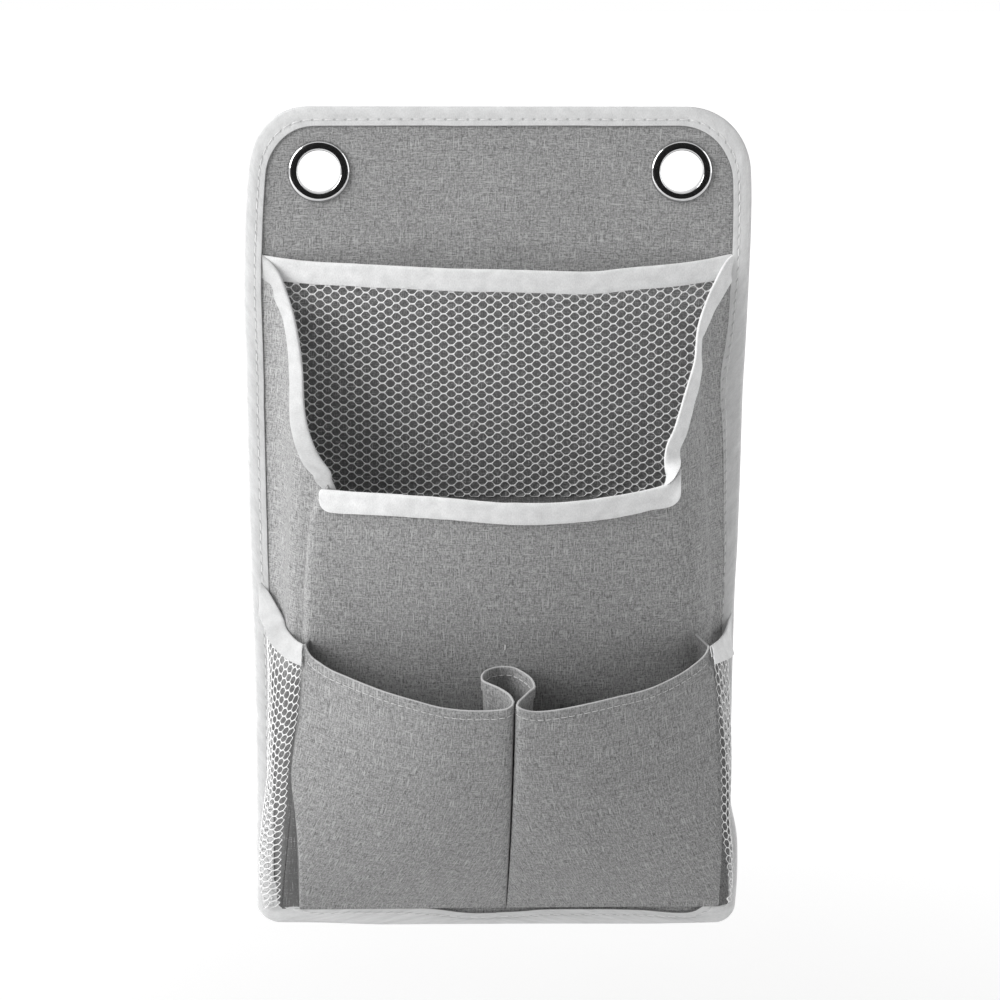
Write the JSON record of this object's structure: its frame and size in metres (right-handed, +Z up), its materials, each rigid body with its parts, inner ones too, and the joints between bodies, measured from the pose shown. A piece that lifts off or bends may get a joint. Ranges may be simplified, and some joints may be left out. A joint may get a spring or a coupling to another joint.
{
  "type": "wall hanging organizer",
  "caption": "Fabric organizer that hangs flat on a wall from metal eyelets, with a net pocket, a large gusseted pocket, lower pockets and side net pockets.",
  "frame": {"origin": "midway between the two eyelets' centres, on the wall plane", "axes": "+X to the viewer's right, +Y into the wall, +Z up"},
  "size_m": [0.32, 0.1019, 0.547],
  "materials": {
    "grey_cloth": "matte linen-look weave",
    "white_tape": "matte folded tape",
    "white_net": "knitted net",
    "board": "matte board",
    "chrome": "polished"
  },
  "bodies": {
    "root": {"back_lining": "grey_cloth", "back_board": "board", "back_face_cloth": "grey_cloth", "perimeter_binding": "white_tape", "eyelet_left": "chrome", "eyelet_right": "chrome", "eyelet_washer_left": "chrome", "eyelet_washer_right": "chrome", "upper_net": "white_net", "upper_net_tape": "white_tape", "large_pocket_front": "grey_cloth", "large_pocket_hem_tape": "white_tape", "large_pocket_gusset_left": "grey_cloth", "large_pocket_gusset_right": "grey_cloth", "gusset_tape_left": "white_tape", "gusset_tape_right": "white_tape", "lower_pocket_front_left": "grey_cloth", "lower_pocket_front_right": "grey_cloth", "pleat_wall_left": "grey_cloth", "pleat_wall_right": "grey_cloth", "lower_pocket_side_left": "grey_cloth", "lower_pocket_side_right": "grey_cloth", "side_net_left": "white_net", "side_net_right": "white_net", "side_net_tape_left": "white_tape", "side_net_tape_right": "white_tape"}
  },
  "joints": []
}
